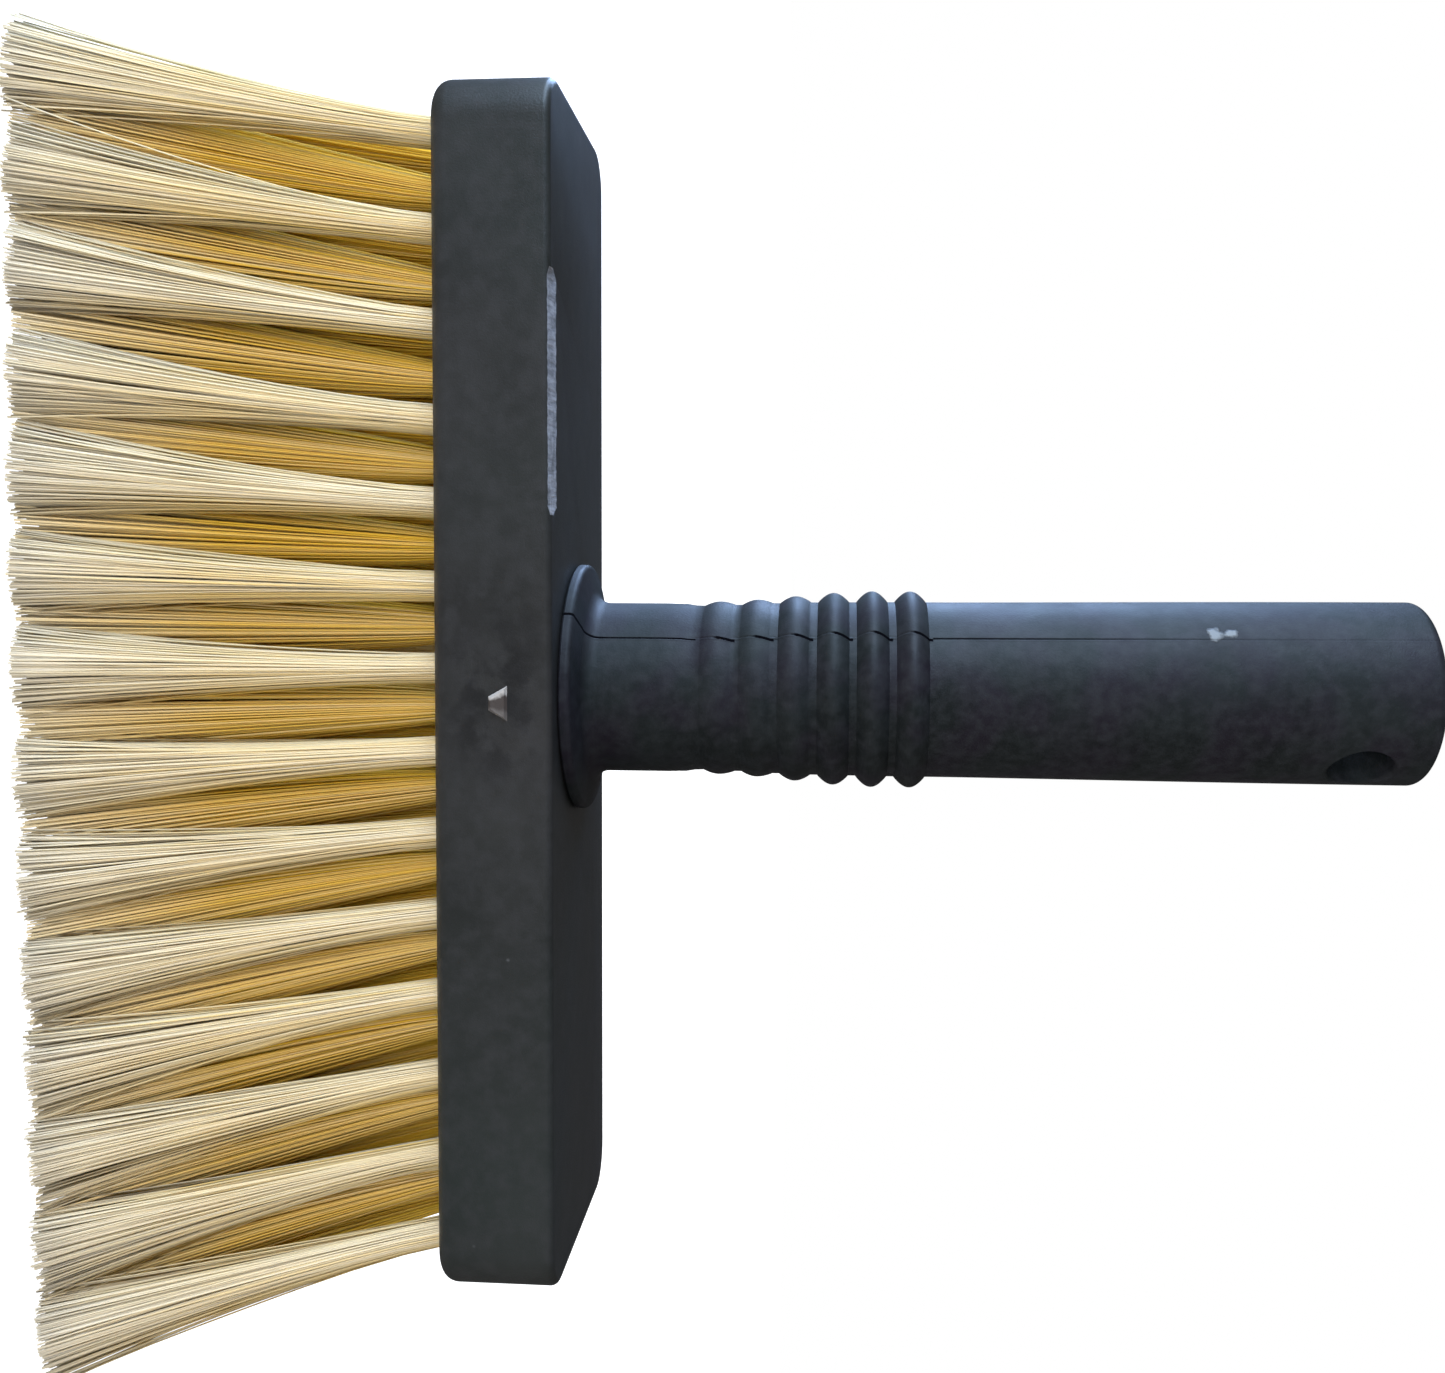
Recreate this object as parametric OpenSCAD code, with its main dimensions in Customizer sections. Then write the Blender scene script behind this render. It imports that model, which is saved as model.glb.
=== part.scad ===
// Bee brush: a T-shaped hand brush that stands on the trimmed tips of its bristles.
// Z runs up the handle, X along the bristle block, Y across it. The origin is under the
// handle, in the plane of the bristle tips.

/* [Bristle block] */
// Length of the block
block_l = 196; // [190:1:230]
// Width of the block
block_w = 50; // [48:1:60]
// Thickness of the block
block_t = 19.4; // [18:0.2:26]
// Corner radius of the block, seen from above
block_r = 7.5; // [5:0.5:12]
// Rounding of the block's lower edge
low_round = 2.8; // [1:0.2:4]
// Rounding of the block's upper edge
top_round = 1.2; // [0.6:0.2:2.5]

/* [Tufts] */
// Free length of the bristles below the block
free_l = 72.6; // [50:1:80]
// Distance between neighbouring rows
row_gap = 8.5; // [8.2:0.1:8.8]
// Distance from the middle of the block to the last tuft of an outer row
row_half = 89.8; // [86:0.2:90]
// Spacing of the tufts along a row
pitch = 13.4; // [13:0.1:13.6]
// Number of wider spacings, at the -X end of a row
wide_gaps = 3; // [2:1:4]
// Radius of a tuft hole
hole_r = 2.7; // [2.2:0.1:3]
// Depth of a tuft hole
hole_depth = 10; // [8:0.5:10]
// How far a tip moves outward for each mm that its root is from the middle
splay = 0.21; // [0:0.01:0.22]
// Radius of a tuft at its tips
tip_r = 5.8; // [4:0.1:5.8]

/* [Handle] */
// Length of the handle above the block
handle_l = 141; // [120:1:160]
// Radius of the handle just above the collar
base_r = 14.6; // [13.5:0.1:15]
// Radius of the handle at its far end
end_r = 15.3; // [14.5:0.1:16]
// Radius of the narrow waist below the rings
waist_r = 14.2; // [13.5:0.1:14.5]
// Radius of the collar
collar_r = 21.2; // [19:0.1:22.5]
// Height of the first ring above the block
ring_z = 24.7; // [24:0.1:27]
// Spacing of the rings
ring_pitch = 6.5; // [6:0.1:8]
// Radius of the hanging hole
hang_r = 5; // [3:0.5:6]
// Distance of the hanging hole from the handle's far end
hang_drop = 11.5; // [11:0.5:20]
// Turn of the hanging hole about the handle, from -Y towards +X
hang_angle = 52; // [0:1:90]

/* [Hidden] */
$fn = 48;
ROWS = ["front", "inner_front", "middle", "inner_back", "back"];
ALL_ROWS = [0:4];
// The outer rows and the middle one have a node for each tuft, the inner rows one for a row
SINGLE_ROWS = [0, 2, 4];
GROUPED_ROWS = [1, 3];
MIDDLE_ROW = 2;
function two_digits(i) = i < 9 ? str("0", i + 1) : str(i + 1);
function anchors_name(row) = str("anchors_", ROWS[row]);
function tuft_name(row, i) = str("tuft_", ROWS[row], "_", two_digits(i));
function tufts_name(row) = str("tufts_", ROWS[row]);

// The outer rows have one spacing from the +X end and a wider one at the -X end
outer_count = 14;
wide_pitch = (2 * row_half - pitch * (outer_count - 1 - wide_gaps)) / wide_gaps;
outer_x = [for (i = [0:outer_count - 1])
    i < wide_gaps
        ? -row_half + i * wide_pitch
        : row_half - (outer_count - 1 - i) * pitch];
// The inner rows stand in the gaps, and the middle row leaves out the tuft under the handle
inner_x = [for (i = [0:outer_count - 2]) (outer_x[i] + outer_x[i + 1]) / 2];
missing_tuft = 6;
middle_x = [for (i = [0:outer_count - 1]) if (i != missing_tuft) outer_x[i]];
row_x = [outer_x, inner_x, middle_x, inner_x, outer_x];
function last(row) = len(row_x[row]) - 1;
function row_y(row) = (row - MIDDLE_ROW) * row_gap;

block_z = free_l;
top_z = block_z + block_t;
handle_top = top_z + handle_l;
hang_z = handle_top - hang_drop;

// Wire anchors: flat pieces on edge that bite into the walls of the tuft holes
anchor_l = 2 * hole_r + 0.6;
anchor_w = 0.45;
anchor_h = 2.2;
anchor_z = block_z + hole_depth - anchor_h;
tuft_gap = 0.05;
across_splay = 0.1;
flare_z = free_l * 0.45;
flare_share = 0.4;
flutes = 24;
flute_depth = 0.92;

// Screw joint between handle and block, drawn as rings instead of a helix
spigot_r = 12.4;
thread_h = 0.9;
thread_pitch = 2.2;
thread_turns = 3;
thread_gap = 0.2;
socket_depth = 8.2;
socket_floor = top_z - socket_depth;

// Handle
bore_r = 9.8;
end_wall = 3.2;
end_round = 1.8;
seat_r = 19;
rim_low = 0.2;
rim_high = 2.1;
rim_round = 0.6;
flare_low = 2.9;
collar_flare = 2.6;
ring_half_base = 2.3;
ring_half_crest = 0.9;
ring_crests = [14.95, 15.3, 15.9, 16.5, 16.8, 16.8];
ring_valleys = [14.4, 14.7, 14.85, 14.9, 14.95, 14.95];
cross_wall = 2.4;

// Small marks of the moulding on the front of the block
gate_x = 1;
gate_z = top_z - 8.6;
gate_h = 3;
gate_w_low = 2.2;
gate_w_high = 5.6;
gate_proud = 0.3;
shave_x = -48;
shave_l = 39.5;
shave_w = 1.1;

// Revolved outline of one block corner, a puck with both edges rounded
module corner_puck() {
    rotate_extrude($fn = 32)
        polygon(concat(
            [[0, block_z]],
            [for (a = [0:15:90])
                [block_r - low_round + low_round * sin(a), block_z + low_round - low_round * cos(a)]],
            [for (a = [0:15:90])
                [block_r - top_round + top_round * cos(a), top_z - top_round + top_round * sin(a)]],
            [[0, top_z]]
        ));
}

// Solid bar before any hole is made in it
module block_bar() {
    hull()
        for (sx = [-1, 1])
            for (sy = [-1, 1])
                translate([sx * (block_l / 2 - block_r), sy * (block_w / 2 - block_r), 0])
                    corner_puck();
}

// Revolved half outline of the threaded spigot, grown by gap for the socket
function thread_outline(gap) = [
    for (turn = [0:thread_turns - 1])
        for (corner = [[0, 0], [thread_h, 0.6], [thread_h, 1], [0, 1.6]])
            [spigot_r + gap + corner[0], socket_floor + 1 + turn * thread_pitch + corner[1]]
];

module socket_space() {
    rotate_extrude()
        polygon(concat(
            [[0, socket_floor], [spigot_r + thread_gap, socket_floor]],
            thread_outline(thread_gap),
            [[spigot_r + thread_gap, top_z + 1], [0, top_z + 1]]
        ));
}

// Small raised trapezoid where the block was broken off its runner
module gate_mark() {
    translate([gate_x, -block_w / 2 + 0.5, gate_z])
        rotate([90, 0, 0])
            linear_extrude(0.5 + gate_proud, scale = 0.86)
                polygon([
                    [-gate_w_low / 2, -gate_h / 2],
                    [gate_w_low / 2, -gate_h / 2],
                    [gate_w_high / 2, gate_h / 2],
                    [-gate_w_high / 2, gate_h / 2]
                ]);
}

// Slanting cut along the upper front edge
module shaved_edge() {
    translate([shave_x, -block_w / 2, top_z])
        rotate([45, 0, 0])
            cube([shave_l, shave_w, 2 * shave_w], center = true);
}

module anchor(x, y) {
    translate([x, y, anchor_z + anchor_h / 2])
        cube([anchor_l, anchor_w, anchor_h], center = true);
}

module block() {
    color("#3c4043")
    difference() {
        union() {
            block_bar();
            gate_mark();
        }
        shaved_edge();
        socket_space();
        for (row = ALL_ROWS)
            for (x = row_x[row]) {
                translate([x, row_y(row), block_z - 1])
                    cylinder(r = hole_r, h = hole_depth + 1, $fn = 24);
                anchor(x, row_y(row));
            }
    }
}

module anchors(row) {
    color("#b9bcc0")
    for (x = row_x[row])
        anchor(x, row_y(row));
}

// Fluted ring of points around a tuft's axis, which leans outward from its root
function tuft_ring(x, y, z, r) =
    let(lean = max(0, (block_z - z) / free_l))
    [for (k = [0:flutes - 1])
        let(a = 360 * k / flutes, reach = k % 2 == 0 ? r : r * flute_depth)
        [x * (1 + splay * lean) + reach * cos(a), y * (1 + across_splay * lean) + reach * sin(a), z]];

// Closed solid through rings of equal length, listed from the top down
module skin(rings) {
    n = len(rings[0]);
    last = len(rings) - 1;
    polyhedron(
        points = [for (ring = rings) each ring],
        faces = concat(
            [[for (k = [n - 1:-1:0]) k]],
            [for (j = [0:last - 1]) for (k = [0:n - 1])
                [j * n + k, j * n + (k + 1) % n, (j + 1) * n + (k + 1) % n, (j + 1) * n + k]],
            [[for (k = [0:n - 1]) last * n + k]]
        )
    );
}

// Bundle of filaments: a plug in its hole and a fan below it, with a slot for the anchor
module tuft(row, i) {
    x = row_x[row][i];
    y = row_y(row);
    plug_r = hole_r - tuft_gap;
    color("#e3d08a")
    difference() {
        skin([
            tuft_ring(x, y, block_z + hole_depth, plug_r),
            tuft_ring(x, y, block_z, plug_r),
            tuft_ring(x, y, flare_z, plug_r + (tip_r - plug_r) * flare_share),
            tuft_ring(x, y, 0, tip_r)
        ]);
        anchor(x, y);
    }
}

module tufts(row) {
    for (i = [0:last(row)])
        tuft(row, i);
}

// Half outline of one grip ring, from its lower valley to its upper one
function ring_outline(i) =
    let(z = top_z + ring_z + i * ring_pitch, crest = ring_crests[i], valley = ring_valleys[i])
    [
        [i == 0 ? waist_r : ring_valleys[i - 1], z - ring_half_base],
        [crest - 0.25 * (crest - valley), z - ring_half_crest - 0.4],
        [crest, z - ring_half_crest + 0.3],
        [crest, z + ring_half_crest - 0.3],
        [crest - 0.25 * (crest - valley), z + ring_half_crest + 0.4],
        [valley, z + ring_half_base]
    ];

// Bell collar: a disc, lifted a little at its rim, that flows up into the handle
function collar_outline() = concat(
    [
        [seat_r, top_z],
        [seat_r, top_z + rim_low],
        [collar_r - rim_round, top_z + rim_low],
        [collar_r, top_z + rim_low + rim_round],
        [collar_r, top_z + rim_high - rim_round],
        [collar_r - rim_round, top_z + rim_high]
    ],
    [for (a = [0:15:90])
        [base_r + collar_flare * (1 - sin(a)),
         top_z + flare_low + collar_flare * (1 - cos(a))]]
);

function grip_outline() = concat(
    [[base_r, top_z + ring_z - 6.5], [waist_r, top_z + ring_z - 4.6]],
    [for (i = [0:len(ring_crests) - 1]) each ring_outline(i)]
);

function end_outline() = [for (a = [0:15:90])
    [end_r - end_round + end_round * cos(a), handle_top - end_round + end_round * sin(a)]];

module handle_body() {
    rotate_extrude($fn = 72)
        polygon(concat(
            [[0, socket_floor + 0.4], [spigot_r, socket_floor + 0.4]],
            thread_outline(0),
            [[spigot_r, top_z]],
            collar_outline(),
            grip_outline(),
            end_outline(),
            [[0, handle_top]]
        ));
}

// Lays a shape's Z axis along the hanging hole
module along_hang_hole() {
    translate([0, 0, hang_z])
        rotate([0, 0, hang_angle])
            rotate([90, 0, 0])
                children();
}

module cross_tube() {
    intersection() {
        along_hang_hole()
            cylinder(r = hang_r + cross_wall, h = 2 * end_r, center = true);
        cylinder(r = end_r - 1, h = handle_top - end_wall);
    }
}

module hang_hole() {
    along_hang_hole() {
        cylinder(r = hang_r, h = 3 * end_r, center = true);
        for (side = [0, 180])
            rotate([0, side, 0])
                translate([0, 0, end_r - 1.6])
                    cylinder(r1 = hang_r, r2 = hang_r + 2.4, h = 2.4);
    }
}

module handle() {
    color("#3c4043")
    difference() {
        union() {
            difference() {
                handle_body();
                translate([0, 0, socket_floor - 1])
                    cylinder(r = bore_r, h = handle_top - end_wall - socket_floor + 1);
            }
            cross_tube();
        }
        hang_hole();
    }
}

block();
handle();
for (row = ALL_ROWS)
    anchors(row);
for (row = GROUPED_ROWS)
    tufts(row);
for (row = SINGLE_ROWS)
    for (i = [0:last(row)])
        tuft(row, i);
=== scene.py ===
"""Bee brush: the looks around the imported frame.

Lengths are in metres. The CAD's block and handle are replaced by finer meshes of the same
size, and each tuft's solid by its filaments. Everything is placed from the frame's boxes.
"""

import math
import random

import bmesh
import bpy
from mathutils import Matrix, Vector


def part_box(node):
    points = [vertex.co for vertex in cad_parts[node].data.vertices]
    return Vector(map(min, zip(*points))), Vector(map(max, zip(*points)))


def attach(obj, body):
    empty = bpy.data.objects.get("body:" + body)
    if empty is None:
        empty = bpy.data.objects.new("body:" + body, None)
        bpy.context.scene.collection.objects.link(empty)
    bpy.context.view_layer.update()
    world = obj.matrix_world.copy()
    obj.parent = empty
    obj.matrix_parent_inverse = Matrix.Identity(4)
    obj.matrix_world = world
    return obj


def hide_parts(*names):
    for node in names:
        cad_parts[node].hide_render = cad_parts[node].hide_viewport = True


MM = 0.001
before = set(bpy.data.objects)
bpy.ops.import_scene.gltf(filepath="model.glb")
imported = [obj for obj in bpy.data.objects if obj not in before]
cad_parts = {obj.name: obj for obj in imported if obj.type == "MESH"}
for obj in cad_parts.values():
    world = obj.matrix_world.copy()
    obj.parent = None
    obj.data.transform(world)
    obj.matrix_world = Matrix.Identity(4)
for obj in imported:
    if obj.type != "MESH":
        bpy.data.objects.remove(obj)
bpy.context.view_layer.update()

# Sizes read from the frame
block_lo, block_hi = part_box("block")
_, handle_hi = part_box("handle")
BLOCK_X = block_hi[0]
BLOCK_Y = block_hi[1]
BLOCK_Z = block_lo[2]
TOP_Z = block_hi[2]
HANDLE_Z = handle_hi[2]
COLLAR_R = handle_hi[0]

# Sizes that the boxes don't give
CORNER_R = 7.5 * MM
LOW_ROUND = 2.8 * MM
TOP_ROUND = 1.2 * MM
HOLE_R = 2.7 * MM
HOLE_DEPTH = 10 * MM
TIP_R = 5.8 * MM
SPLAY = 0.21
ACROSS_SPLAY = 0.1
BASE_R = 14.6 * MM
END_R = 15.3 * MM
SPIGOT_R = 12.4 * MM
SOCKET_DEPTH = 8.2 * MM
BORE_R = 9.8 * MM
SEAM_ANGLE = math.radians(-38)
SEAM_SLIP = 0.7 * MM
HANG_ANGLE = math.radians(52)
HANG_R = 5 * MM
HANG_Z = HANDLE_Z - 11.5 * MM
RINGS = 6
RING_Z = TOP_Z + 24.7 * MM
RING_PITCH = 6.5 * MM
GATE = Vector((1 * MM, -BLOCK_Y, TOP_Z - 8.6 * MM))
SHAVE_X = -48 * MM
SHAVE_L = 38.5 * MM


# ---------------------------------------------------------------- camera and light


def add_camera():
    """A close camera a little above the block, on its side so that the handle points right."""
    data = bpy.data.cameras.new("camera")
    data.lens = 35.555
    data.sensor_width = 36.0
    data.shift_y = -0.018
    data.clip_start = 0.01
    cam = bpy.data.objects.new("camera", data)
    bpy.context.collection.objects.link(cam)
    turn, dip, lean = math.radians(3.156), math.radians(4.543), math.radians(-0.448)
    forward = Vector((math.sin(turn) * math.cos(dip), math.cos(turn) * math.cos(dip), -math.sin(dip)))
    upright = Vector((0, 0, 1))
    right = (upright - forward * forward.z).normalized()
    right = Matrix.Rotation(lean, 3, forward) @ right
    up = right.cross(forward)
    place = Matrix((right, up, -forward)).transposed().to_4x4()
    place.translation = Vector((-18.3, -246.4, 136.65)) * MM
    cam.matrix_world = place
    bpy.context.scene.camera = cam


LIGHT_AIM = Vector((0, 0, 0.11))


def add_light(name, place, size, watts, colour, glossy):
    """Area light aimed at the brush's middle. Only a glossy one shows in reflections."""
    data = bpy.data.lights.new(name, "AREA")
    data.shape = "RECTANGLE"
    data.size, data.size_y = size
    data.energy = watts
    data.color = colour
    lamp = bpy.data.objects.new(name, data)
    bpy.context.collection.objects.link(lamp)
    lamp.location = place
    beam = LIGHT_AIM - Vector(place)
    lamp.rotation_euler = beam.to_track_quat("-Z", "Y").to_euler()
    lamp.visible_glossy = glossy


def add_lights():
    """A blue window beyond the -X end, its glow on the far wall, and softer room light."""
    add_light("window", (-0.82, -0.28, 0.29), (0.9, 0.3), 12.5, (0.54, 0.74, 1.0), True)
    add_light("far_wall", (-0.75, 0.65, 0.24), (0.6, 0.25), 12.0, (0.42, 0.62, 1.0), True)
    add_light("room", (-0.25, -0.97, 0.2), (1.0, 0.4), 11.5, (1.0, 0.97, 0.93), False)
    add_light("rear", (0.3, 0.95, 0.16), (1.0, 0.4), 7.0, (1.0, 0.97, 0.93), False)
    add_light("ceiling", (-0.3, 0.1, 1.3), (1.2, 1.2), 1.5, (0.93, 0.97, 1.0), False)


def add_world():
    """White to look at, and dim as a light."""
    world = bpy.data.worlds.new("world")
    bpy.context.scene.world = world
    world.use_nodes = True
    tree = world.node_tree
    tree.nodes.clear()
    out = tree.nodes.new("ShaderNodeOutputWorld")
    mix = tree.nodes.new("ShaderNodeMixShader")
    path = tree.nodes.new("ShaderNodeLightPath")
    dim = tree.nodes.new("ShaderNodeBackground")
    dim.inputs["Color"].default_value = (1.0, 0.97, 0.95, 1)
    dim.inputs["Strength"].default_value = 0.1
    white = tree.nodes.new("ShaderNodeBackground")
    white.inputs["Color"].default_value = (1, 1, 1, 1)
    tree.links.new(path.outputs["Is Camera Ray"], mix.inputs[0])
    tree.links.new(dim.outputs[0], mix.inputs[1])
    tree.links.new(white.outputs[0], mix.inputs[2])
    tree.links.new(mix.outputs[0], out.inputs[0])


def add_floor():
    """A wide pale disc under the bristle tips, bright enough to meet the white world."""
    mesh = bpy.data.meshes.new("floor")
    edge = [(4 * math.cos(a * math.pi / 32), 4 * math.sin(a * math.pi / 32), 0) for a in range(64)]
    mesh.from_pydata(edge, [], [tuple(range(64))])
    floor = bpy.data.objects.new("floor", mesh)
    bpy.context.collection.objects.link(floor)
    floor.location.z = -0.0004
    mat = bpy.data.materials.new("floor_paint")
    mat.use_nodes = True
    shader = mat.node_tree.nodes["Principled BSDF"]
    shader.inputs["Base Color"].default_value = (0.35, 0.35, 0.35, 1)
    shader.inputs["Roughness"].default_value = 0.9
    shader.inputs["Emission Color"].default_value = (1, 1, 1, 1)
    shader.inputs["Emission Strength"].default_value = 1.2
    mesh.materials.append(mat)
    floor.visible_glossy = False
    floor.visible_transmission = False


# ---------------------------------------------------------------- node helpers


class Nodes:
    """A material's node tree with short calls for the nodes used here."""

    def __init__(self, name):
        self.mat = bpy.data.materials.new(name)
        self.mat.use_nodes = True
        self.tree = self.mat.node_tree
        self.shader = self.tree.nodes["Principled BSDF"]
        self.out = self.tree.nodes["Material Output"]
        coord = self.tree.nodes.new("ShaderNodeTexCoord")
        self.place = coord.outputs["Object"]

    def link(self, source, target):
        self.tree.links.new(source, target)

    def add(self, kind, **inputs):
        node = self.tree.nodes.new(kind)
        for key, value in inputs.items():
            socket = node.inputs[key]
            if isinstance(value, bpy.types.NodeSocket):
                self.link(value, socket)
            else:
                socket.default_value = value
        return node

    def noise(self, scale, detail=3.0, rough=0.5, place=None):
        node = self.add("ShaderNodeTexNoise", Scale=scale, Detail=detail, Roughness=rough)
        self.link(place or self.place, node.inputs["Vector"])
        return node.outputs["Fac"]

    def stretch(self, factors):
        return self.add("ShaderNodeMapping", Vector=self.place, Scale=factors).outputs[0]

    def attribute(self, name):
        node = self.add("ShaderNodeAttribute")
        node.attribute_name = name
        return node

    def ramp(self, value, low, high, start=0.0, end=1.0):
        node = self.add("ShaderNodeMapRange", Value=value)
        node.inputs["From Min"].default_value = low
        node.inputs["From Max"].default_value = high
        node.inputs["To Min"].default_value = start
        node.inputs["To Max"].default_value = end
        node.clamp = True
        return node.outputs[0]

    def operate(self, kind, how, values):
        """A maths node of either kind, with its first inputs linked or set."""
        node = self.tree.nodes.new(kind)
        node.operation = how
        for socket, value in zip(node.inputs, values):
            if isinstance(value, bpy.types.NodeSocket):
                self.link(value, socket)
            else:
                socket.default_value = value
        return node

    def maths(self, how, *values):
        return self.operate("ShaderNodeMath", how, values).outputs[0]

    def vector(self, how, *values):
        return self.operate("ShaderNodeVectorMath", how, values).outputs["Vector"]

    def length(self, value):
        return self.operate("ShaderNodeVectorMath", "LENGTH", (value,)).outputs["Value"]

    def near(self, centre, reach, squash, wobble):
        """1 at a point and 0 from reach outward. The wobble makes the edge uneven."""
        away = self.length(self.vector("MULTIPLY", self.vector("SUBTRACT", self.place, centre), squash))
        uneven = self.maths("MULTIPLY", self.maths("SUBTRACT", wobble, 0.5), reach)
        return self.ramp(self.maths("ADD", away, uneven), 0.0, reach, 1.0, 0.0)

    def blend(self, factor, a, b):
        node = self.tree.nodes.new("ShaderNodeMix")
        node.data_type = "RGBA"
        for socket, value in ((node.inputs[0], factor), (node.inputs[6], a), (node.inputs[7], b)):
            if isinstance(value, bpy.types.NodeSocket):
                self.link(value, socket)
            elif isinstance(value, tuple):
                socket.default_value = (*value, 1)
            else:
                socket.default_value = value
        return node.outputs[2]

    def bump(self, height, strength, distance, normal=None):
        node = self.add("ShaderNodeBump", Height=height, Strength=strength, Distance=distance)
        if normal is not None:
            self.link(normal, node.inputs["Normal"])
        return node.outputs[0]

    def set(self, socket, value):
        if isinstance(value, bpy.types.NodeSocket):
            self.link(value, self.shader.inputs[socket])
        else:
            self.shader.inputs[socket].default_value = value


# ---------------------------------------------------------------- materials


def block_plastic():
    """Moulded plastic with a fine grain, cloudy patches and a dark halo around the gate."""
    m = Nodes("block_plastic")
    cloud = m.noise(38, 4, 0.6)
    patch = m.noise(11, 2, 0.5)
    grain = m.noise(2600, 3, 0.6)
    cool = m.blend(m.ramp(cloud, 0.35, 0.68), (0.0115, 0.0105, 0.0105), (0.02, 0.0185, 0.0185))
    tone = m.blend(m.ramp(patch, 0.35, 0.7, 0.0, 0.6), cool, (0.011, 0.0185, 0.0165))
    mottle = m.noise(420, 3, 0.6)
    tone = m.blend(m.ramp(mottle, 0.4, 0.7, 0.0, 0.5), tone, (0.024, 0.024, 0.026))
    smudge = m.ramp(m.noise(170, 3, 0.6), 0.44, 0.56)
    halo = m.near(GATE, 15 * MM, (0.9, 1, 1.3), m.noise(120, 3))
    halo = m.maths("MULTIPLY", halo, smudge)
    tone = m.blend(m.maths("MULTIPLY", halo, 0.8), tone, (0.005, 0.005, 0.006))
    specks = m.add("ShaderNodeTexVoronoi", Scale=95.0, Vector=m.place)
    dot = m.ramp(specks.outputs["Distance"], 0.0, 0.035, 1.0, 0.0)
    tone = m.blend(m.maths("MULTIPLY", dot, 0.2), tone, (0.2, 0.21, 0.22))
    m.set("Base Color", tone)
    rough = m.ramp(cloud, 0.3, 0.7, 0.42, 0.52)
    m.set("Roughness", m.maths("ADD", rough, m.maths("MULTIPLY", halo, -0.12)))
    m.set("Specular IOR Level", 0.5)
    swell = m.bump(m.noise(60, 2), 0.25, 0.0004)
    m.set("Normal", m.bump(grain, 0.6, 0.00008, swell))
    return m.mat


def seam_painted_shade(m):
    """Mask of the painted shade in the parting line's groove, with a heavier painted tick of shade
    behind each grip ring.
    """
    x, y, z = m.add("ShaderNodeSeparateXYZ", Vector=m.place).outputs
    across = m.maths("ADD", m.maths("MULTIPLY", x, math.cos(SEAM_ANGLE)),
                     m.maths("MULTIPLY", y, math.sin(SEAM_ANGLE)))
    rings = m.maths("DIVIDE", m.maths("SUBTRACT", z, RING_Z - RING_PITCH / 2), RING_PITCH)
    inside = m.maths("MULTIPLY", m.maths("GREATER_THAN", rings, 0.0),
                     m.maths("LESS_THAN", rings, float(RINGS)))
    turn = m.maths("FRACT", rings)
    slip = m.maths("MULTIPLY", m.maths("SUBTRACT", turn, 0.5), SEAM_SLIP)
    far = m.maths("ABSOLUTE", m.maths("SUBTRACT", across, m.maths("MULTIPLY", slip, inside)))
    tick = m.maths("MULTIPLY", m.ramp(turn, 0.42, 0.55), inside)
    at_tick = m.maths("MULTIPLY", tick, 0.12 * MM)
    at_collar = m.ramp(z, TOP_Z + 2 * MM, TOP_Z + 7 * MM, 0.1 * MM, 0.0)
    half_width = m.maths("ADD", m.maths("ADD", 0.17 * MM, at_tick), at_collar)
    line = m.maths("LESS_THAN", far, half_width)
    fading = m.ramp(z, TOP_Z + 55 * MM, TOP_Z + 128 * MM, 0.95, 0.1)
    plain = m.maths("MULTIPLY", fading, m.maths("SUBTRACT", 1.0, inside))
    return m.maths("MULTIPLY", line, m.maths("MAXIMUM", plain, tick))


def handle_plastic():
    """The same plastic, finely mottled, with painted shade and two chips on its parting line."""
    m = Nodes("handle_plastic")
    cloud = m.noise(55, 4, 0.6)
    grain = m.noise(2400, 3, 0.6)
    tone = m.blend(m.ramp(cloud, 0.35, 0.68), (0.0045, 0.006, 0.0065), (0.008, 0.0105, 0.0115))
    tone = m.blend(m.ramp(m.noise(120, 3), 0.42, 0.6, 0.0, 0.7), tone, (0.009, 0.0065, 0.012))
    tone = m.blend(m.ramp(m.noise(480, 3, 0.6), 0.4, 0.7, 0.0, 0.5), tone, (0.018, 0.021, 0.024))
    chip_x = 1.1 * math.sin(SEAM_ANGLE) * END_R
    chip_y = -0.94 * math.cos(SEAM_ANGLE) * END_R
    ragged = m.noise(900, 2)
    wide_chip = m.near((chip_x, chip_y, TOP_Z + 105.6 * MM), 1.7 * MM, (0.8, 1, 0.9), ragged)
    long_chip = m.near((chip_x, chip_y, TOP_Z + 107.9 * MM), 1.4 * MM, (1.1, 1.1, 0.8), ragged)
    chips = m.ramp(m.maths("MAXIMUM", wide_chip, long_chip), 0.2, 0.6)
    tone = m.blend(m.maths("MULTIPLY", chips, 0.75), tone, (0.17, 0.19, 0.21))
    # The parting line's groove and the ticks behind the grip rings get painted shade: near-black, fully
    # rough and without specular.
    seam = seam_painted_shade(m)
    m.set("Base Color", m.blend(seam, tone, (0.002, 0.002, 0.003)))
    m.set("Roughness", m.maths("MAXIMUM", m.ramp(cloud, 0.3, 0.7, 0.54, 0.68), seam))
    m.set("Specular IOR Level", m.ramp(seam, 0.0, 1.0, 0.4, 0.0))
    streaks = m.bump(m.noise(300, 3, 0.6, m.stretch((1, 1, 0.06))), 0.12, 0.0002)
    m.set("Normal", m.bump(grain, 0.55, 0.00008, m.bump(chips, 0.6, 0.0003, streaks)))
    return m.mat


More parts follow.
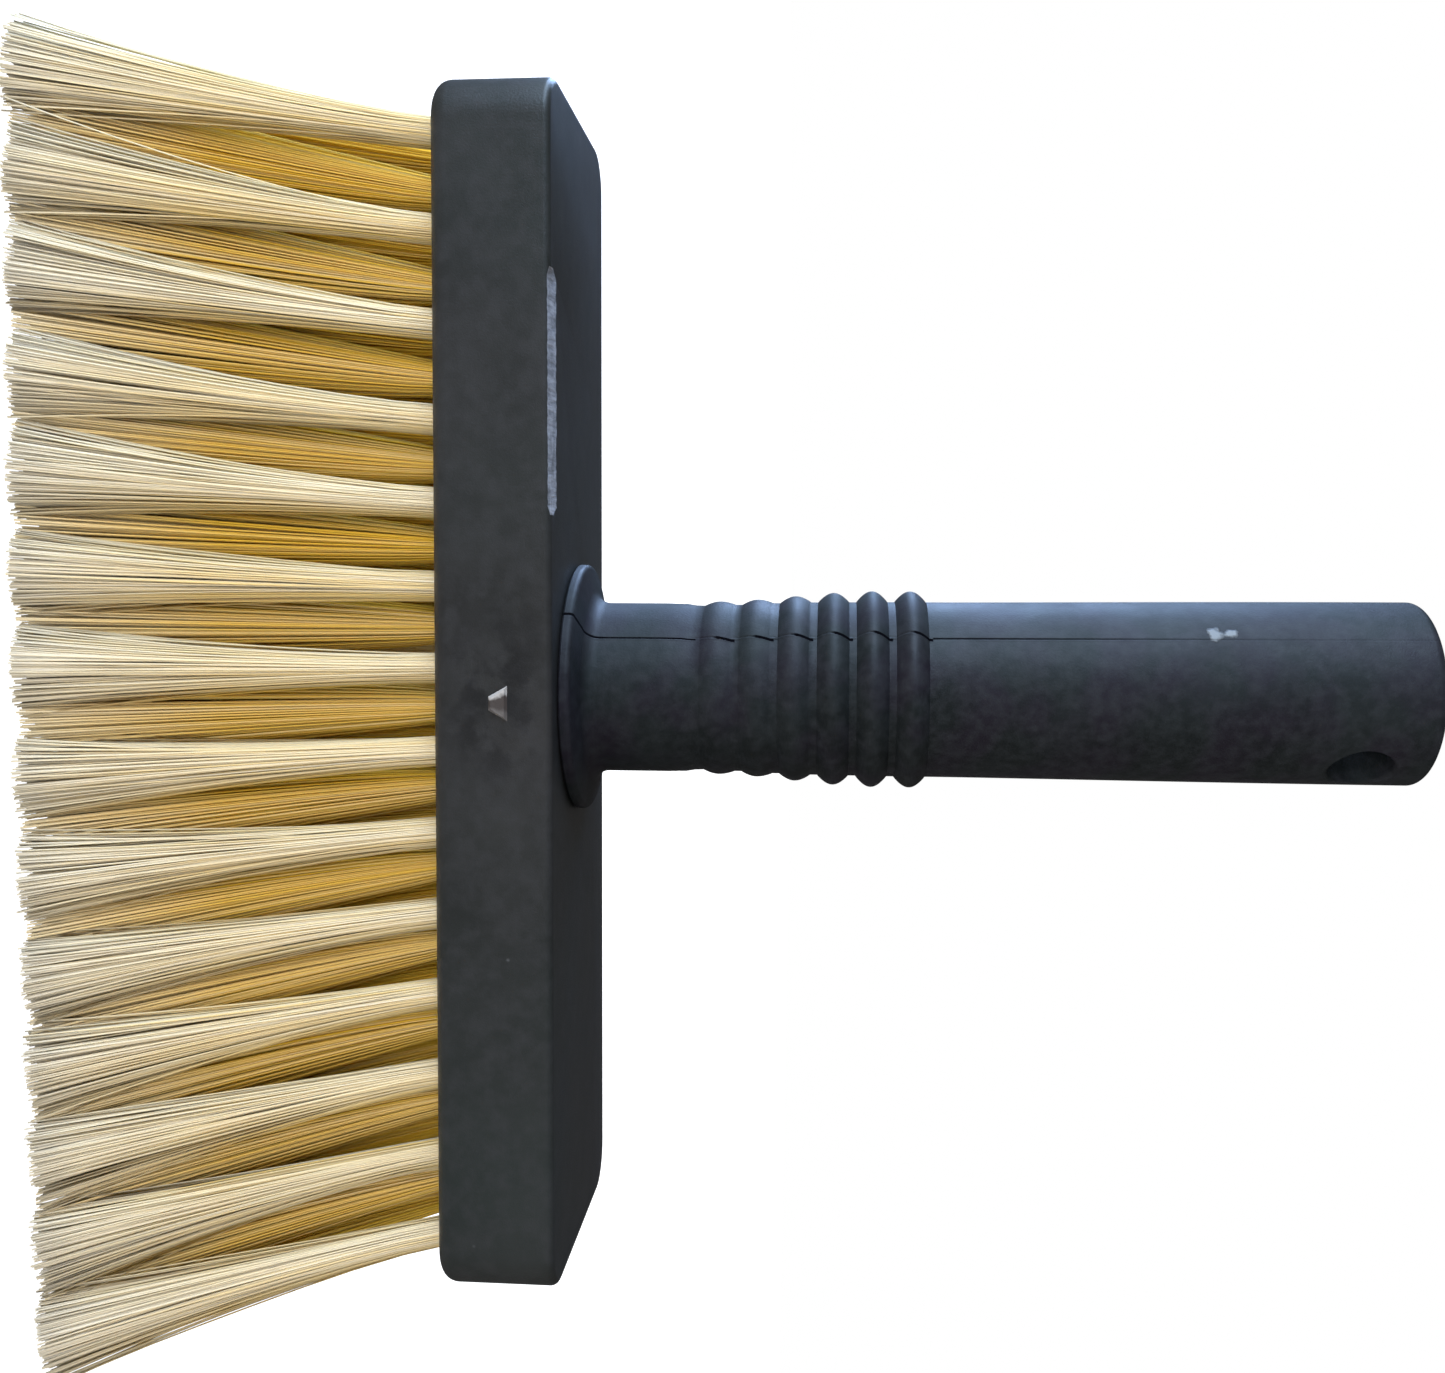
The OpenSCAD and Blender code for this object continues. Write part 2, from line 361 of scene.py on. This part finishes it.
def gate_scar():
    """Torn plastic where the block broke off its runner: brown, with a painted highlight on its -X side
    and a fainter one on its +X side.
    """
    m = Nodes("gate_scar")
    torn = m.noise(900, 3, 0.6, m.stretch((0.6, 1, 0.6)))
    x, _, z = m.add("ShaderNodeSeparateXYZ", Vector=m.place).outputs
    half = m.maths("ADD", 1.95 * MM, m.maths("MULTIPLY", m.maths("SUBTRACT", z, GATE.z), 0.57))
    side = m.maths("DIVIDE", m.maths("SUBTRACT", x, GATE.x), half)
    side = m.maths("ADD", side, m.maths("SUBTRACT", torn, 0.5))
    # Painted highlight: the side toward the window at -X is painted pale grey, and the +X side faintly.
    upper = m.ramp(side, -0.62, -0.4, 1.0, 0.0)
    lower = m.ramp(side, 0.4, 1.0, 0.0, 0.3)
    painted_highlight = m.maths("MAXIMUM", upper, lower)
    m.set("Base Color", m.blend(painted_highlight, (0.04, 0.033, 0.031), (0.27, 0.26, 0.255)))
    m.set("Roughness", m.ramp(torn, 0.3, 0.7, 0.3, 0.5))
    m.set("Normal", m.bump(torn, 0.6, 0.0002))
    return m.mat


def shaved_plastic():
    """Pale torn surface of a trimmed edge, with chatter marks across the cut."""
    m = Nodes("shaved_plastic")
    chatter = m.noise(1500, 3, 0.6, m.stretch((1, 0.2, 0.2)))
    tear = m.noise(420, 4, 0.7, m.stretch((0.35, 1, 1)))
    tone = m.blend(m.ramp(chatter, 0.35, 0.65), (0.17, 0.175, 0.2), (0.38, 0.39, 0.44))
    tone = m.blend(m.ramp(tear, 0.5, 0.68, 0.0, 0.7), tone, (0.09, 0.095, 0.1))
    m.set("Base Color", tone)
    m.set("Roughness", 0.62)
    m.set("Normal", m.bump(chatter, 0.8, 0.00015))
    return m.mat


def filament():
    """Translucent nylon: each strand has its own tone, and the inner rows' strands are painted a deeper
    gold as painted shade, which the light through them carries too.

    A tuft is shaded partly as one soft body, so its strands don't each catch the light.
    """
    m = Nodes("filament")
    tone = m.attribute("tone").outputs["Fac"]
    along = m.attribute("along").outputs["Fac"]
    outward = m.attribute("outward").outputs["Vector"]
    body = m.blend(tone, (0.99, 0.71, 0.08), (0.98, 0.91, 0.73))
    tip = m.ramp(along, 0.55, 1.0, 0.0, 0.65)
    m.set("Base Color", m.blend(tip, body, (0.97, 0.93, 0.85)))
    m.set("Roughness", m.ramp(tone, 0.0, 1.0, 0.6, 0.5))
    m.set("Specular IOR Level", 0.35)
    fine = m.bump(m.noise(700, 2, 0.5, m.stretch((1, 1, 0.15))), 0.2, 0.00008)
    own = m.vector("MULTIPLY", fine, (0.35, 0.35, 0.35))
    m.set("Normal", m.vector("NORMALIZE", m.vector("ADD", own, outward)))
    glow = m.add("ShaderNodeBsdfTranslucent")
    shine = m.blend(tone, (0.99, 0.67, 0.05), (0.98, 0.84, 0.5))
    m.link(m.blend(tip, shine, (0.99, 0.94, 0.8)), glow.inputs["Color"])
    mix = m.add("ShaderNodeMixShader", Fac=0.56)
    m.link(m.shader.outputs[0], mix.inputs[1])
    m.link(glow.outputs[0], mix.inputs[2])
    m.link(mix.outputs[0], m.out.inputs["Surface"])
    return m.mat


def anchor_wire():
    """Bright drawn wire, slightly uneven."""
    m = Nodes("anchor_wire")
    m.set("Base Color", m.blend(m.noise(900, 3), (0.45, 0.46, 0.48), (0.68, 0.68, 0.7)))
    m.set("Metallic", 1.0)
    m.set("Roughness", m.ramp(m.noise(1500, 2), 0.3, 0.7, 0.25, 0.45))
    return m.mat


# ---------------------------------------------------------------- mesh helpers


def new_piece(name, mesh, material):
    """One visible piece, which stays with the brush's only body."""
    mesh.materials.append(material)
    obj = bpy.data.objects.new(name, mesh)
    bpy.context.collection.objects.link(obj)
    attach(obj, "root")
    return obj


def scratch(name, bm, material):
    """A helper object for a boolean, which is deleted after use."""
    mesh = bpy.data.meshes.new(name)
    bm.to_mesh(mesh)
    bm.free()
    mesh.materials.append(material)
    obj = bpy.data.objects.new(name, mesh)
    bpy.context.collection.objects.link(obj)
    return obj


def revolve(bm, outline, angles):
    """Closed skin of an outline of (radius, z) points turned about Z."""
    rings = []
    for r, z in outline:
        if r < 1e-7:
            rings.append([bm.verts.new((0, 0, z))])
        else:
            rings.append([bm.verts.new((r * math.sin(a), -r * math.cos(a), z)) for a in angles])
    n = len(angles)
    for low, high in zip(rings, rings[1:]):
        for k in range(n):
            corners = [low[k % len(low)], low[(k + 1) % len(low)],
                       high[(k + 1) % len(high)], high[k % len(high)]]
            ring = list(dict.fromkeys(corners))
            if len(ring) > 2:
                bm.faces.new(ring)
    bmesh.ops.recalc_face_normals(bm, faces=bm.faces)


def turned(count):
    """Even steps of a full turn."""
    return [2 * math.pi * k / count for k in range(count)]


def boolean(obj, cutter, how):
    """Cuts or joins a helper object, whose faces keep their own material."""
    mod = obj.modifiers.new("cut", "BOOLEAN")
    mod.object = cutter
    mod.operation = how
    mod.solver = "EXACT"
    mod.material_mode = "TRANSFER"
    bpy.context.view_layer.update()
    graph = bpy.context.evaluated_depsgraph_get()
    mesh = bpy.data.meshes.new_from_object(obj.evaluated_get(graph))
    obj.modifiers.remove(mod)
    old = obj.data
    obj.data = mesh
    bpy.data.meshes.remove(old)
    bpy.data.objects.remove(cutter)


def smooth(obj, sharp_degrees=35):
    """Smooth shading with hard edges kept where the surface turns sharply."""
    bm = bmesh.new()
    bm.from_mesh(obj.data)
    for face in bm.faces:
        face.smooth = True
    for edge in bm.edges:
        edge.smooth = len(edge.link_faces) == 2 and edge.calc_face_angle(0) < math.radians(sharp_degrees)
    bm.to_mesh(obj.data)
    bm.free()


# ---------------------------------------------------------------- block


def bar_ring(inset, z):
    """Rounded rectangle, inset from the block's full size."""
    per_corner, side_step = 10, 5 * MM
    r = CORNER_R - inset
    points = []
    for sx, sy, start in ((1, -1, -90), (1, 1, 0), (-1, 1, 90), (-1, -1, 180)):
        centre = Vector((sx * (BLOCK_X - CORNER_R), sy * (BLOCK_Y - CORNER_R)))
        for k in range(per_corner + 1):
            a = math.radians(start + 90 * k / per_corner)
            points.append((centre.x + r * math.cos(a), centre.y + r * math.sin(a), z))
    filled = []
    for p, q in zip(points, points[1:] + points[:1]):
        filled.append(p)
        steps = max(1, round((Vector(q) - Vector(p)).length / side_step))
        filled.extend(tuple(Vector(p).lerp(Vector(q), s / steps)) for s in range(1, steps))
    return filled


def arc(count):
    """Even steps of a quarter turn."""
    return [math.radians(90 * k / count) for k in range(count + 1)]


def bar_mesh():
    """The bar before its holes, skinned level by level from the rounded lower edge up."""
    levels = [(LOW_ROUND * (1 - math.sin(a)), BLOCK_Z + LOW_ROUND * (1 - math.cos(a))) for a in arc(8)]
    wall = TOP_Z - TOP_ROUND - BLOCK_Z - LOW_ROUND
    levels += [(0, BLOCK_Z + LOW_ROUND + wall * s / 4) for s in (1, 2, 3)]
    levels += [(TOP_ROUND * (1 - math.cos(a)), TOP_Z - TOP_ROUND * (1 - math.sin(a))) for a in arc(6)]
    bm = bmesh.new()
    rings = [[bm.verts.new(p) for p in bar_ring(inset, z)] for inset, z in levels]
    n = len(rings[0])
    for low, high in zip(rings, rings[1:]):
        for k in range(n):
            bm.faces.new((low[k], low[(k + 1) % n], high[(k + 1) % n], high[k]))
    bm.faces.new(list(reversed(rings[0])))
    bm.faces.new(rings[-1])
    bmesh.ops.recalc_face_normals(bm, faces=bm.faces)
    mesh = bpy.data.meshes.new("block_moulding")
    bm.to_mesh(mesh)
    bm.free()
    return mesh


def tuft_root(row, i):
    """Where a tuft leaves the block, worked out from the box of its CAD solid."""
    lo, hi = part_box(f"tuft_{row}_{i:02d}")
    outer_x = hi.x - TIP_R if hi.x + lo.x > 0 else lo.x + TIP_R
    return outer_x / (1 + SPLAY), (lo.y + hi.y) / 2 / (1 + ACROSS_SPLAY)


def block_holes():
    """A blind hole for every tuft, which starts a little below the block's underside."""
    bm = bmesh.new()
    depth = HOLE_DEPTH + 1 * MM
    for x, y in all_roots():
        place = Matrix.Translation((x, y, BLOCK_Z + HOLE_DEPTH - depth / 2))
        bmesh.ops.create_cone(bm, cap_ends=True, segments=24, radius1=HOLE_R, radius2=HOLE_R,
                              depth=depth, matrix=place)
    return bm


def gate_shape():
    """Small trapezoid with sloping sides, left where the runner broke off."""
    bm = bmesh.new()
    half, proud = 1.5 * MM, 0.45 * MM
    base = [(-1.1 * MM, -half), (1.1 * MM, -half), (2.8 * MM, half), (-2.8 * MM, half)]
    back = [bm.verts.new((GATE.x + x, GATE.y + 1 * MM, GATE.z + z)) for x, z in base]
    foot = [bm.verts.new((GATE.x + x, GATE.y, GATE.z + z)) for x, z in base]
    face = [bm.verts.new((GATE.x + x * 0.8, GATE.y - proud, GATE.z + z * 0.72)) for x, z in base]
    bm.faces.new(back)
    bm.faces.new(face)
    for low, high in ((back, foot), (foot, face)):
        for k in range(4):
            bm.faces.new((low[k], low[(k + 1) % 4], high[(k + 1) % 4], high[k]))
    bmesh.ops.recalc_face_normals(bm, faces=bm.faces)
    return bm


def shave_shape():
    """Long flat knife with a ragged inner edge, laid across the block's upper front edge."""
    rng = random.Random(5)
    bm = bmesh.new()
    steps = 60
    rows = []
    for k in range(steps + 1):
        x = SHAVE_X + SHAVE_L * (k / steps - 0.5)
        edge = min(k, steps - k) / steps
        bite = (0.92 + 0.16 * rng.random()) * MM * min(1, 14 * edge + 0.5)
        low = Vector((x, -BLOCK_Y - 2.1 * bite, TOP_Z - 0.8 * bite))
        top = Vector((x, -BLOCK_Y + 6.7 * bite, TOP_Z + 0.25 * bite))
        out = Vector((x, -BLOCK_Y - 4 * bite, TOP_Z + 3 * bite))
        rows.append([bm.verts.new(p) for p in (low, top, out)])
    for a, b in zip(rows, rows[1:]):
        for k in range(3):
            bm.faces.new((a[k], a[(k + 1) % 3], b[(k + 1) % 3], b[k]))
    bm.faces.new(rows[0])
    bm.faces.new(list(reversed(rows[-1])))
    bmesh.ops.recalc_face_normals(bm, faces=bm.faces)
    return bm


def socket_cutter():
    """Round socket that takes the handle's spigot with a little clearance."""
    bm = bmesh.new()
    r, low, high = SPIGOT_R + 0.2 * MM, TOP_Z - SOCKET_DEPTH, TOP_Z + 1 * MM
    revolve(bm, [(0, low), (r, low), (r, high), (0, high)], turned(64))
    return bm


def add_block():
    plastic = block_plastic()
    obj = new_piece("block_moulding", bar_mesh(), plastic)
    boolean(obj, scratch("holes", block_holes(), plastic), "DIFFERENCE")
    boolean(obj, scratch("socket", socket_cutter(), plastic), "DIFFERENCE")
    boolean(obj, scratch("gate", gate_shape(), gate_scar()), "UNION")
    boolean(obj, scratch("shave", shave_shape(), shaved_plastic()), "DIFFERENCE")
    smooth(obj)
    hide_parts("block")


# ---------------------------------------------------------------- handle


RING_CRESTS = (14.95, 15.3, 15.9, 16.5, 16.8, 16.8)
RING_VALLEYS = (14.2, 14.4, 14.7, 14.85, 14.9, 14.95, 14.95)
RING_HALF = 2.65 * MM
WAIST_R = 14.95 * MM


def ring_outline(i):
    """Rounded crest of one grip ring, between the valleys below and above it."""
    crest = RING_CRESTS[i] * MM
    z = RING_Z + i * RING_PITCH
    points = []
    for k in range(-10, 11):
        s = k / 10
        foot = RING_VALLEYS[i if s < 0 else i + 1] * MM
        swell = max(0.0, math.cos(s * math.pi / 2)) ** 0.9
        points.append((foot + (crest - foot) * swell, z + s * RING_HALF))
    return points


def handle_outline():
    """Half section of the handle: spigot, bell collar, neck, grip rings, grip and rounded end."""
    points = [(0, TOP_Z - SOCKET_DEPTH + 0.4 * MM), (SPIGOT_R, TOP_Z - SOCKET_DEPTH + 0.4 * MM)]
    points += [(SPIGOT_R, TOP_Z), (19 * MM, TOP_Z), (19 * MM, TOP_Z + 0.2 * MM)]
    shoulder, fillet = 0.9 * MM, 2.6 * MM
    points += [(COLLAR_R - 0.3 * MM, TOP_Z + 0.2 * MM), (COLLAR_R, TOP_Z + 0.5 * MM)]
    points += [(COLLAR_R - shoulder * (1 - math.cos(a)), TOP_Z + 1.2 * MM + shoulder * math.sin(a))
               for a in arc(8)]
    points += [(BASE_R + fillet * (1 - math.sin(a)), TOP_Z + 2.9 * MM + fillet * (1 - math.cos(a)))
               for a in arc(10)]
    points += [(BASE_R, TOP_Z + z * MM) for z in (8, 12, 16)]
    points += [(14.5 * MM, TOP_Z + 19 * MM), (14.25 * MM, TOP_Z + 20.5 * MM)]
    for i in range(RINGS):
        points += ring_outline(i)
    end_round, end_rise = 1.8 * MM, 1.65 * MM
    start, stop = TOP_Z + 64 * MM, HANDLE_Z - end_round
    for k in range(19):
        s = k / 18
        swell = math.sin(s * math.pi / 2) ** 1.2
        points.append((WAIST_R + (END_R - WAIST_R) * swell, start + (stop - start) * s))
    points += [(END_R - end_round * (1 - math.cos(a)), stop + end_rise * math.sin(a))
               for a in arc(10)[1:]]
    points += [(8 * MM, HANDLE_Z - 0.05 * MM), (0, HANDLE_Z)]
    return points


def seam_angles():
    """Even steps round the handle, with close ones at the two parting lines."""
    fine = [math.radians(d / 2) for d in range(-7, 8)]
    angles = []
    for half in (0, math.pi):
        middle = SEAM_ANGLE + half
        angles += [middle + d for d in fine]
        angles += [middle + math.radians(4 + 172 * k / 66) for k in range(67)]
    return angles


def seam_sway(z):
    """Sideways slip of the parting line at each grip ring."""
    place = (z - RING_Z) / RING_PITCH + 0.5
    if not 0 <= place < RINGS:
        return 0.0
    return SEAM_SLIP * (place % 1.0 - 0.5)


def handle_mesh():
    """The turned handle, with a fine groove and ridge drawn along both parting lines."""
    bm = bmesh.new()
    revolve(bm, handle_outline(), seam_angles())
    for v in bm.verts:
        radius = math.hypot(v.co.x, v.co.y)
        if radius < 14 * MM or v.co.z < TOP_Z + 0.3 * MM:
            continue
        angle = math.atan2(v.co.x, -v.co.y) - SEAM_ANGLE
        across = (angle + math.pi / 2) % math.pi - math.pi / 2
        fade = max(0.25, min(1.0, (TOP_Z + 135 * MM - v.co.z) / (70 * MM)))
        offset = math.degrees(across) - math.degrees(seam_sway(v.co.z) / radius)
        groove = -0.12 * MM * math.exp(-((offset / 0.5) ** 2)) * fade
        ridge = 0.06 * MM * math.exp(-(((offset - 1.1) / 0.6) ** 2)) * fade
        grow = (radius + ridge + groove) / radius
        v.co.x *= grow
        v.co.y *= grow
    mesh = bpy.data.meshes.new("handle_moulding")
    bm.to_mesh(mesh)
    bm.free()
    return mesh


def hang_cutter():
    """Round hole with softened mouths, laid across the handle."""
    bm = bmesh.new()
    reach = END_R + 1 * MM
    soft = 1.4 * MM
    half = [(HANG_R + soft * (1 - math.cos(a)), END_R - 1.3 * MM + soft * math.sin(a)) for a in arc(6)]
    outline = [(0, -reach - 1 * MM), (half[-1][0] + 0.6 * MM, -reach - 1 * MM)]
    outline += [(r, -z) for r, z in reversed(half)] + half
    outline += [(half[-1][0] + 0.6 * MM, reach + 1 * MM), (0, reach + 1 * MM)]
    revolve(bm, outline, turned(64))
    tip = Matrix.Rotation(HANG_ANGLE, 4, "Z") @ Matrix.Rotation(math.pi / 2, 4, "X")
    bmesh.ops.transform(bm, matrix=Matrix.Translation((0, 0, HANG_Z)) @ tip, verts=bm.verts)
    return bm


def bore_cutter():
    """The handle's hollow, which ends short of the hanging hole."""
    bm = bmesh.new()
    low, high = TOP_Z - SOCKET_DEPTH - 1 * MM, HANG_Z - 9 * MM
    revolve(bm, [(0, low), (BORE_R, low), (BORE_R, high), (0, high)], turned(48))
    return bm


def add_handle():
    plastic = handle_plastic()
    obj = new_piece("handle_moulding", handle_mesh(), plastic)
    boolean(obj, scratch("hang", hang_cutter(), plastic), "DIFFERENCE")
    boolean(obj, scratch("bore", bore_cutter(), plastic), "DIFFERENCE")
    smooth(obj, 40)
    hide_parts("handle")


# ---------------------------------------------------------------- tufts


STRAND_R = 0.15 * MM
TIP_SWELL = 0.25
STATIONS = 9
SIDES = 3
SINGLE_ROWS = {"front": 14, "middle": 13, "back": 14}
GROUPED_ROWS = {"inner_front": ("front", "middle"), "inner_back": ("middle", "back")}
STRANDS = {"front": 260, "inner_front": 200, "middle": 150, "inner_back": 180, "back": 260}
# How late the strands of a row fan out on their way to the tips
FAN_DELAY = {"front": 1.5, "inner_front": 0.85, "middle": 0.85, "inner_back": 0.8, "back": 1.5}
# How far the strands of a row spread across the block at their tips
FAN_ACROSS = {"front": 3.3 * MM, "inner_front": 6 * MM, "middle": 5 * MM, "inner_back": 6 * MM,
              "back": 3.3 * MM}
# How far a row's tips bend toward the nearer long side
BEND_OUT = {"front": 0.0, "inner_front": 4 * MM, "middle": 0.0, "inner_back": 4 * MM, "back": 0.0}
# How untidy the strands of a row are
LOOSE = {"front": 0.8, "inner_front": 0.3, "middle": 0.3, "inner_back": 0.3, "back": 0.8}
# How pale a row's strands are painted: the inner rows are painted a deeper gold, a painted shade for
# their place between the outer rows
PAINTED_ROW_PALENESS = {"front": 0.75, "inner_front": 0.12, "middle": 0.08, "inner_back": 0.12, "back": 0.75}


def single_roots(row):
    """Roots of a row whose tufts are separate pieces."""
    return [tuft_root(row, i + 1) for i in range(SINGLE_ROWS[row])]


def inner_roots(row):
    """Roots of a row that stands between two others, half a spacing along from the front row."""
    near, far = (single_roots(name)[0][1] for name in GROUPED_ROWS[row])
    xs = [x for x, _ in single_roots("front")]
    return [((a + b) / 2, (near + far) / 2) for a, b in zip(xs, xs[1:])]


def all_roots():
    roots = [root for row in SINGLE_ROWS for root in single_roots(row)]
    return roots + [root for row in GROUPED_ROWS for root in inner_roots(row)]


def fan_lean(x):
    """How far a tuft's tips stand outward of its root. The +X end is splayed more."""
    middle = -6 * MM
    full = 24 * MM if x > middle else 16 * MM
    return full * math.tanh((x - middle) / (65 * MM))


def strand_path(rng, root, spot, pull, fan, lean, bend, row):
    """Points from inside the hole to the trimmed tip."""
    loose = LOOSE[row]
    ux = spot[0] + (pull[0] - spot[0]) * 0.3 * loose
    uy = spot[1] + (pull[1] - spot[1]) * 0.3 * loose
    fan_x = fan[0] * (ux + rng.gauss(0, 0.12) * loose)
    fan_y = fan[1] * (uy + rng.gauss(0, 0.1) * loose)
    wave = rng.uniform(0.02, 0.2) * MM * loose
    phase, turns = rng.uniform(0, 6.28), rng.uniform(0.5, 1.3)
    bow = rng.gauss(0, 0.3) * MM * loose
    shift = lean + fan_x
    trim = abs(rng.gauss(0, 0.1)) * MM + 0.3 * shift * shift / BLOCK_Z
    start = BLOCK_Z + 1.5 * MM
    points = []
    for k in range(STATIONS):
        t = k / (STATIONS - 1)
        held = HOLE_R * 0.92 * (1 - t)
        spread = t ** FAN_DELAY[row]
        sway = wave * math.sin(phase + turns * 6.28 * t) * t + bow * math.sin(math.pi * t)
        points.append((
            root[0] + spot[0] * held + lean * t ** 1.1 + fan_x * spread + sway,
            root[1] * (1 + 0.03 * t) + spot[1] * held + fan_y * spread + bend * t * t - sway * 0.5,
            start + (trim - start) * t,
        ))
    return points


def tuft_strands(rng, root, row):
    """Path, tone and outward direction of each strand of a tuft. They lean in small clumps."""
    lean = fan_lean(root[0]) + rng.gauss(0, 0.5) * MM
    fan = (rng.uniform(7.2, 8.0) * MM, FAN_ACROSS[row])
    clumps = [(rng.uniform(-1, 1), rng.uniform(-1, 1), rng.gauss(0, 0.07)) for _ in range(12)]
    golden = math.pi * (3 - math.sqrt(5))
    side = 0.0 if abs(root[1]) < 1 * MM else math.copysign(1.0, root[1])
    bend = side * BEND_OUT[row]
    last = STATIONS - 1
    for s in range(STRANDS[row]):
        reach = math.sqrt((s + 0.5) / STRANDS[row])
        spot = (reach * math.cos(s * golden), reach * math.sin(s * golden))
        clump = min(clumps, key=lambda c: math.dist(c[:2], spot))
        path = strand_path(rng, root, spot, clump, fan, lean, bend, row)
        if rng.random() < 0.03:
            stray = rng.gauss(0, 2.5) * MM
            path = [(x + stray * (k / last) ** 1.5, y, z) for k, (x, y, z) in enumerate(path)]
        # Painted shade: each tuft's strands on its +X side, away from the window, are painted a deeper
        # gold. The tone is also paler on the side toward the nearer long face.
        shade = 0.45 * max(0.0, spot[0]) * PAINTED_ROW_PALENESS[row]
        tone = rng.gauss(PAINTED_ROW_PALENESS[row], 0.09) + clump[2] + 0.12 * side * spot[1] - shade
        yield path, min(1.0, max(0.0, tone)), (spot[0], spot[1], -0.1)


class StrandMesh:
    """Thin three-sided tubes, with each point's tone, place along its strand and outward direction."""

    def __init__(self):
        self.verts, self.faces, self.tones, self.alongs, self.outwards = [], [], [], [], []

    def add(self, rng, path, tone, outward):
        radius = STRAND_R * rng.uniform(0.88, 1.12)
        turn = rng.uniform(0, 2.1)
        first = len(self.verts)
        last = len(path) - 1
        for k, (x, y, z) in enumerate(path):
            thick = radius * (1 + TIP_SWELL * k / last)
            for c in range(SIDES):
                a = turn + 2 * math.pi * c / SIDES
                self.verts.append((x + thick * math.cos(a), y + thick * math.sin(a), z))
                self.tones.append(tone)
                self.alongs.append(k / last)
                self.outwards.extend(outward)
        for k in range(last):
            low = first + k * SIDES
            for c in range(SIDES):
                d = (c + 1) % SIDES
                self.faces.append((low + c, low + SIDES + c, low + SIDES + d, low + d))
        self.faces.append(tuple(first + c for c in range(SIDES)))
        self.faces.append(tuple(first + last * SIDES + c for c in reversed(range(SIDES))))

    def mesh(self, name):
        mesh = bpy.data.meshes.new(name)
        mesh.from_pydata(self.verts, [], self.faces)
        mesh.attributes.new("tone", "FLOAT", "POINT").data.foreach_set("value", self.tones)
        mesh.attributes.new("along", "FLOAT", "POINT").data.foreach_set("value", self.alongs)
        mesh.attributes.new("outward", "FLOAT_VECTOR", "POINT").data.foreach_set("vector", self.outwards)
        mesh.polygons.foreach_set("use_smooth", [True] * len(mesh.polygons))
        return mesh


def add_bristles(name, seed, roots, row, material, node):
    """One piece of loose strands, in place of a CAD node's solid tufts."""
    rng = random.Random(seed)
    strands = StrandMesh()
    for root in roots:
        for path, tone, outward in tuft_strands(rng, root, row):
            strands.add(rng, path, tone, outward)
    obj = new_piece(name, strands.mesh(name), material)
    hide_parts(node)


def add_tufts():
    material = filament()
    for number, row in enumerate(SINGLE_ROWS):
        for i, root in enumerate(single_roots(row), start=1):
            label = f"{row}_{i:02d}"
            add_bristles(f"bristles_{label}", 1000 * number + i, [root], row, material,
                         f"tuft_{label}")
    for number, row in enumerate(GROUPED_ROWS):
        add_bristles(f"bristles_{row}", 9000 + number, inner_roots(row), row, material,
                     f"tufts_{row}")


def add_anchor_finish():
    """Gives the CAD anchors, which keep their shape, their wire material."""
    wire = anchor_wire()
    for row in (*SINGLE_ROWS, *GROUPED_ROWS):
        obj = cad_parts[f"anchors_{row}"]
        for material_slot in obj.material_slots:
            material_slot.material = wire


# ---------------------------------------------------------------- scene

bpy.context.scene.view_settings.view_transform = "Standard"
bpy.context.scene.cycles.diffuse_bounces = 8
add_camera()
add_world()
add_floor()
add_lights()
add_block()
add_handle()
add_tufts()
add_anchor_finish()
